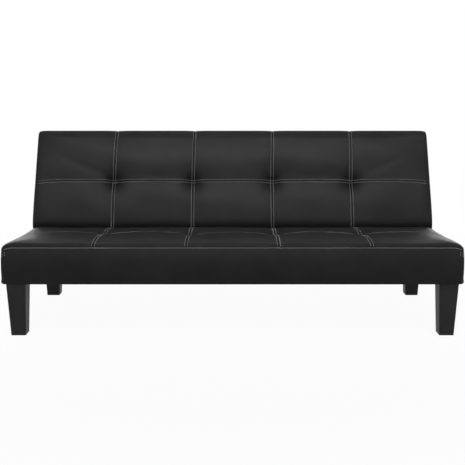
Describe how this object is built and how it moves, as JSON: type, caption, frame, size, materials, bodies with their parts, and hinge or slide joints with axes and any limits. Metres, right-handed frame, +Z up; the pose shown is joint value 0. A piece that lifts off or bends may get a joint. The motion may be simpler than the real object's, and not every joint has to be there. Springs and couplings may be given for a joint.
{
  "type": "futon sofa bed",
  "caption": "Armless click-clack sofa bed: quilted faux-leather seat and folding back on a recessed steel base with tapered legs.",
  "frame": {"origin": "on the floor, at the middle of the box around the sofa with its back up", "axes": "+X along the sofa's width, +Y towards its rear, +Z up; the sofa faces -Y"},
  "size_m": [1.68, 0.767, 0.7085],
  "materials": {
    "cover_leather": "satin",
    "leg_plastic": "satin",
    "timber": "matte",
    "foam": "matte",
    "webbing": "matte",
    "black_steel": "satin",
    "zinc_steel": "satin",
    "rubber": "matte",
    "backing_fabric": "matte"
  },
  "bodies": {
    "base": {"back_bumper_left": "rubber", "back_bumper_right": "rubber", "base_rail_left": "black_steel", "base_rail_right": "black_steel", "front_crossbar": "black_steel", "front_foot_glide_left": "rubber", "front_foot_glide_right": "rubber", "front_leg_bolt_left": "zinc_steel", "front_leg_bolt_right": "zinc_steel", "front_leg_left": "leg_plastic", "front_leg_right": "leg_plastic", "hinge_bracket_left": "black_steel", "hinge_bracket_right": "black_steel", "pawl_pin_left": "zinc_steel", "pawl_pin_right": "zinc_steel", "pawl_spring_left": "zinc_steel", "pawl_spring_right": "zinc_steel", "pivot_pin_left": "zinc_steel", "pivot_pin_right": "zinc_steel", "rail_end_cap_left": "leg_plastic", "rail_end_cap_right": "leg_plastic", "rear_crossbar": "black_steel", "rear_foot_glide_left": "rubber", "rear_foot_glide_right": "rubber", "rear_leg_bolt_left": "zinc_steel", "rear_leg_bolt_right": "zinc_steel", "rear_leg_left": "leg_plastic", "rear_leg_right": "leg_plastic", "seat_bumper_left": "rubber", "seat_bumper_right": "rubber"},
    "seat": {"seat_arm_bolt_left": "zinc_steel", "seat_arm_bolt_right": "zinc_steel", "seat_arm_left": "black_steel", "seat_arm_right": "black_steel", "seat_centre_board": "timber", "seat_cover": "cover_leather", "seat_cross_board": "timber", "seat_dust_cover": "backing_fabric", "seat_foam": "foam", "seat_front_board": "timber", "seat_rear_board": "timber", "seat_side_board_left": "timber", "seat_side_board_right": "timber", "seat_webbing": "webbing"},
    "back": {"back_arm_bolt_left": "zinc_steel", "back_arm_bolt_right": "zinc_steel", "back_centre_board": "timber", "back_cover": "cover_leather", "back_foam": "foam", "back_lower_board": "timber", "back_ratchet_arm_left": "black_steel", "back_ratchet_arm_right": "black_steel", "back_rear_panel": "backing_fabric", "back_side_board_left": "timber", "back_side_board_right": "timber", "back_top_board": "timber", "back_webbing": "webbing"},
    "pawl_left": {"pawl_left": "zinc_steel"},
    "pawl_right": {"pawl_right": "zinc_steel"}
  },
  "joints": [
    {"name": "back_recline", "type": "hinge", "parent": "base", "child": "back", "pos_m": [0, 0.12847, 0.295], "axis": [-1, 0, 0], "range_deg": [-4, 64]},
    {"name": "seat_lift", "type": "hinge", "parent": "base", "child": "seat", "pos_m": [0, 0.12847, 0.295], "axis": [-1, 0, 0], "range_deg": [0, 6]},
    {"name": "pawl_left_rock", "type": "hinge", "parent": "base", "child": "pawl_left", "pos_m": [0, 0.09947, 0.24477], "axis": [-1, 0, 0], "range_deg": [0, 15], "stiffness_Nm_per_rad": 0.4, "springref_deg": -17.19},
    {"name": "pawl_right_rock", "type": "hinge", "parent": "base", "child": "pawl_right", "pos_m": [0, 0.09947, 0.24477], "axis": [-1, 0, 0], "range_deg": [0, 15], "stiffness_Nm_per_rad": 0.4, "springref_deg": -17.19}
  ]
}
